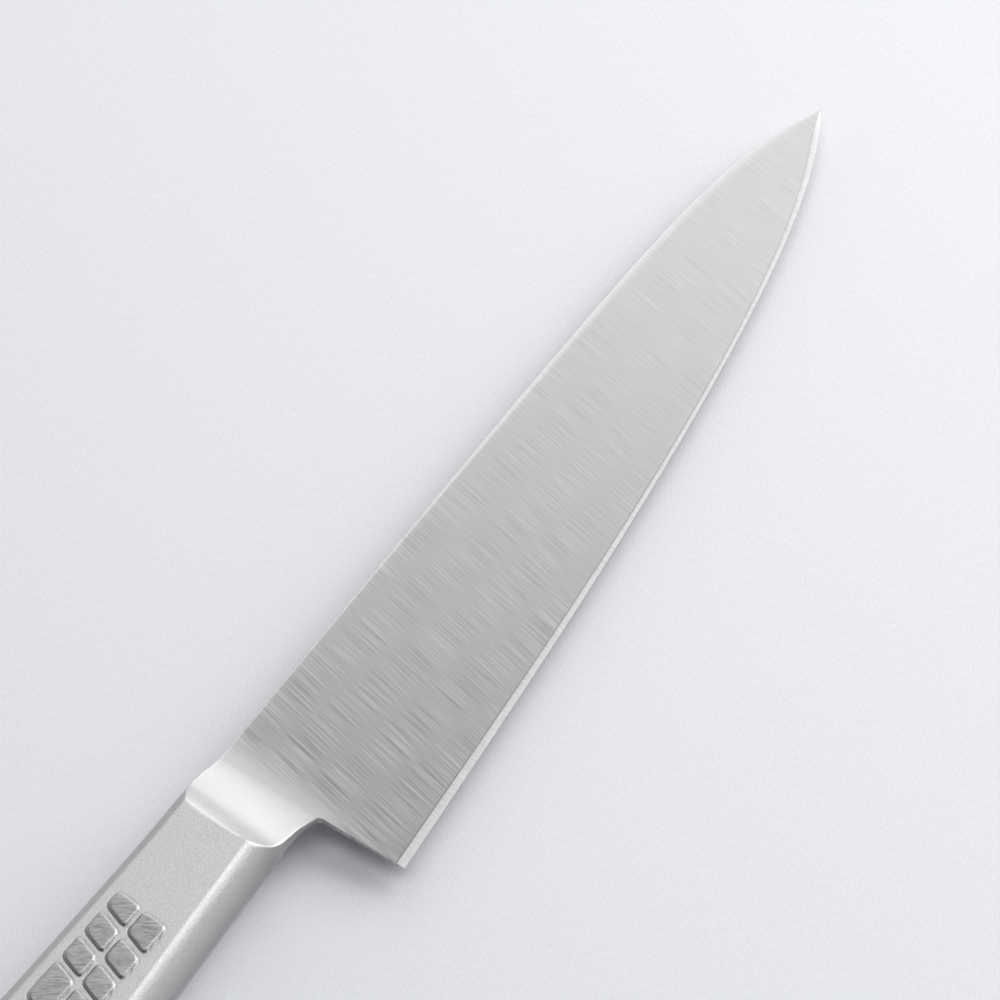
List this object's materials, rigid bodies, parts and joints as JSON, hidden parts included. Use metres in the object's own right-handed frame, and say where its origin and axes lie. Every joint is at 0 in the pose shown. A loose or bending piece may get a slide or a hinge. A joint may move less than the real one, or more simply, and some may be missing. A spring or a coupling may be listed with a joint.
{
  "type": "petty knife",
  "caption": "Slim all-steel kitchen petty knife: flat-ground tapering blade with a small cutting bevel, concave neck and a hollow welded handle with pressed grip pads.",
  "frame": {"origin": "under the middle of the knife's box, on the surface that it lies on", "axes": "+X along the knife to the tip, +Y across the blade to the spine, +Z out of the right-hand face"},
  "size_m": [0.265, 0.0338, 0.0129],
  "materials": {
    "blade_steel": "fine belt-ground satin, lines across the blade",
    "handle_steel": "fine matt satin on pressed sheet",
    "weld_steel": "ground flush and buffed satin"
  },
  "bodies": {
    "root": {"blade": "blade_steel", "handle_shell_right": "handle_steel", "handle_shell_left": "handle_steel", "neck_weld_right": "weld_steel", "neck_weld_left": "weld_steel", "spine_seam_weld": "weld_steel", "belly_seam_weld": "weld_steel"}
  },
  "joints": []
}
